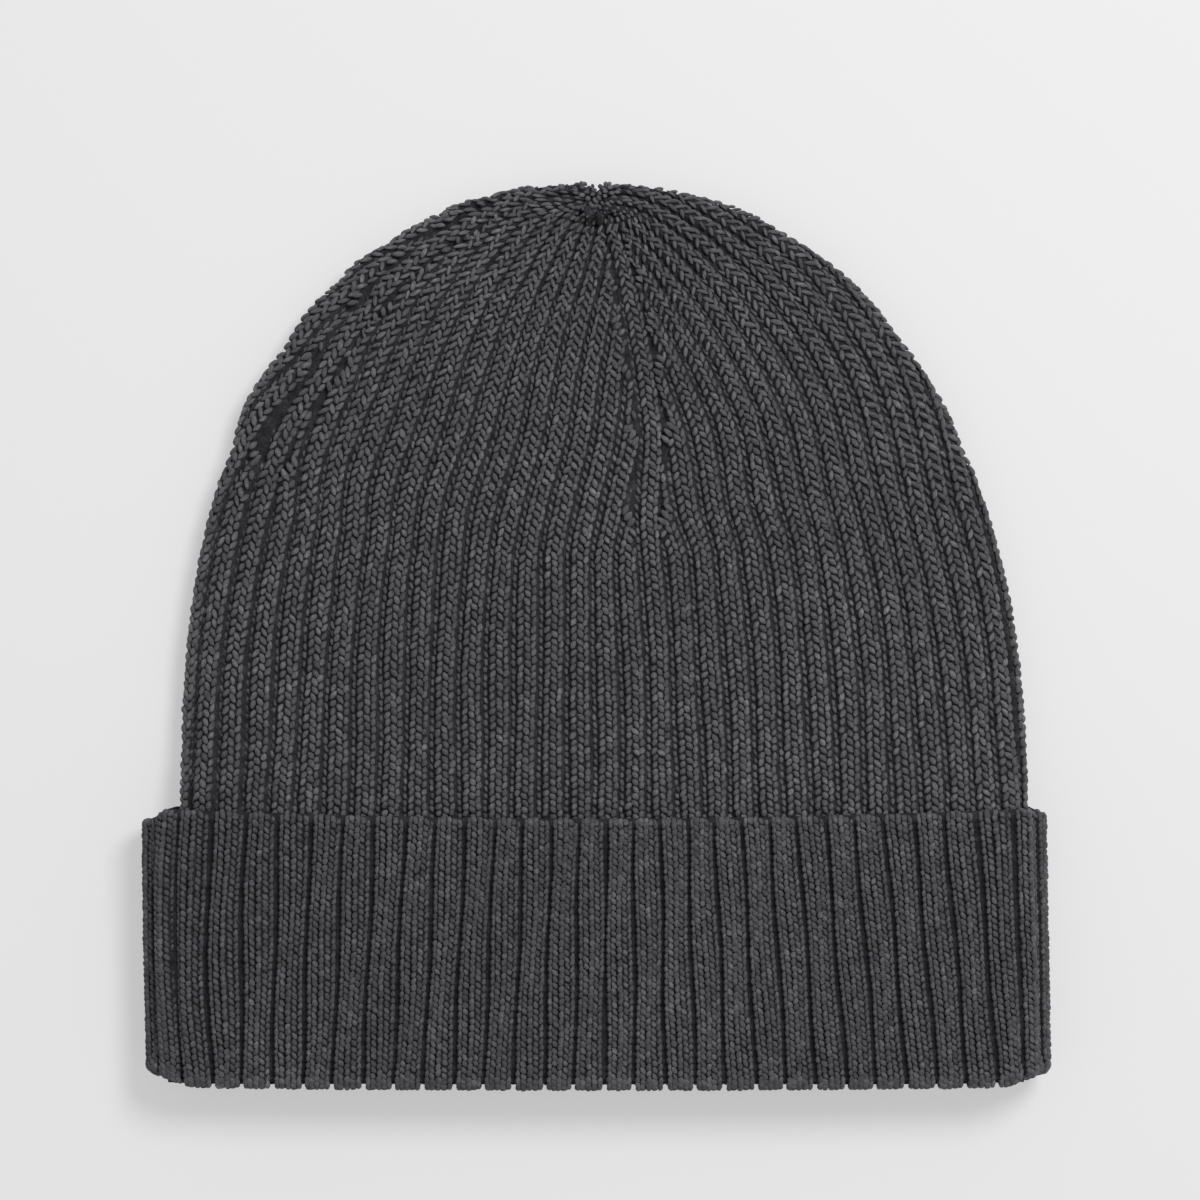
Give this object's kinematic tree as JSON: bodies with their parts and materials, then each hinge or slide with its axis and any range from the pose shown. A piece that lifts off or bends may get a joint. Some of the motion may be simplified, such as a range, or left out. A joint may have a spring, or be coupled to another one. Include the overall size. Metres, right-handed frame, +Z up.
{
  "type": "knit beanie",
  "caption": "Cuffed rib-knit beanie lying flat: a soft fabric tube gathered shut at the crown and open at the mouth for the head, with a turned-up cuff that comes down.",
  "frame": {"origin": "on the surface the hat lies on, under the middle of its bounding box", "axes": "+X across the hat, +Y from the cuff's folded edge to the tip of the crown, +Z up from the surface through the flat hat"},
  "size_m": [0.216, 0.2164, 0.02],
  "materials": {
    "knit": "heathered charcoal-grey rib knit in soft twisted yarn",
    "yarn": "plain charcoal-grey twisted yarn",
    "label": "off-white woven satin tape, blank",
    "label_thread": "fine off-white sewing thread"
  },
  "bodies": {
    "hat": {"body_knit": "knit", "body_seam_thread": "yarn", "crown_gathering_yarn": "yarn", "gathering_knot": "yarn", "care_label": "label", "care_label_stitches": "label_thread"},
    "cuff": {"cuff_knit": "knit", "cuff_seam_thread": "yarn"}
  },
  "joints": [
    {"name": "cuff_turn_down", "type": "slide", "parent": "hat", "child": "cuff", "axis": [0, -1, 0], "range_m": [0, 0.06]}
  ]
}
